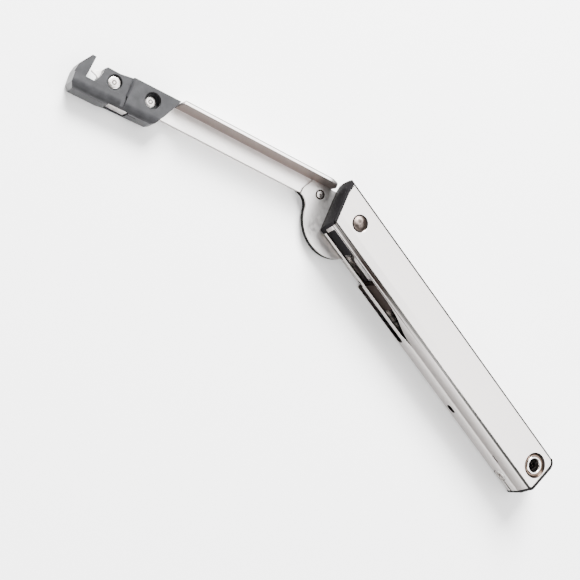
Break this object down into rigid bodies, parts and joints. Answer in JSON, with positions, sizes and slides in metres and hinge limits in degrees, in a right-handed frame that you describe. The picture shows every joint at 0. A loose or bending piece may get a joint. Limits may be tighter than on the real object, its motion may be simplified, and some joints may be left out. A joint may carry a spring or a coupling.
{
  "type": "lid stay",
  "caption": "Spring-assisted lid stay: slim folded steel housing with an end bush, and a cam-rooted arm that folds back beside it, ending in a latching plastic hook.",
  "frame": {"origin": "axis of the mount bush, on the housing's rear face", "axes": "+X from the bush towards the arm's pivot, +Z from the rear face to the front cover, +Y towards the side on which the arm folds"},
  "size_m": [0.2912, 0.0734, 0.0229],
  "materials": {
    "housing_steel": "satin stainless sheet",
    "arm_steel": "bright rolled stainless sheet",
    "bright_steel": "polished nickel plate",
    "spring_steel": "oiled spring wire",
    "black_moulding": "glossy moulded plastic",
    "cam_moulding": "moulded acetal",
    "hook_moulding": "fine-textured moulded nylon",
    "inner_moulding": "glass-filled nylon"
  },
  "bodies": {
    "housing": {"rear_housing": "housing_steel", "front_cover": "housing_steel", "top_end_guide": "black_moulding", "bottom_end_plug": "black_moulding", "mount_bush": "bright_steel", "bush_block": "inner_moulding", "pin_lock_screw": "bright_steel", "pivot_axle": "bright_steel", "pivot_washer": "cam_moulding", "lift_spring": "spring_steel"},
    "slider": {"slider_block": "inner_moulding", "slider_plate": "arm_steel", "roller_pin": "bright_steel", "spring_guide_rod": "bright_steel"},
    "roller": {"cam_roller": "bright_steel"},
    "arm": {"arm_channel": "arm_steel", "cam_block": "cam_moulding", "cam_front_plate": "arm_steel", "cam_rivets": "bright_steel", "pivot_sleeve": "bright_steel", "hook_rear_half": "hook_moulding", "hook_front_half": "hook_moulding", "hook_rivets": "bright_steel", "latch_spring": "spring_steel"},
    "latch": {"slide_latch": "arm_steel"}
  },
  "joints": [
    {"name": "arm_fold", "type": "hinge", "parent": "housing", "child": "arm", "pos_m": [0.149, 0, 0], "axis": [0, 0, 1], "range_deg": [0, 145]},
    {"name": "slider_travel", "type": "slide", "parent": "housing", "child": "slider", "axis": [-1, 0, 0], "range_m": [0, 0.0072], "stiffness_N_per_m": 800, "springref_m": -0.02, "deforming": ["lift_spring"]},
    {"name": "roller_spin", "type": "hinge", "parent": "slider", "child": "roller", "pos_m": [0.13166, 0, 0], "axis": [0, 0, 1], "continuous": true},
    {"name": "latch_slide", "type": "slide", "parent": "arm", "child": "latch", "axis": [-0.891, -0.454, 0], "range_m": [0, 0.0042], "stiffness_N_per_m": 400, "springref_m": -0.004, "deforming": ["latch_spring"]}
  ],
  "couplings": [
    {"joint": "slider_travel", "follows": "arm_fold", "m_per_rad": 0.00272}
  ]
}
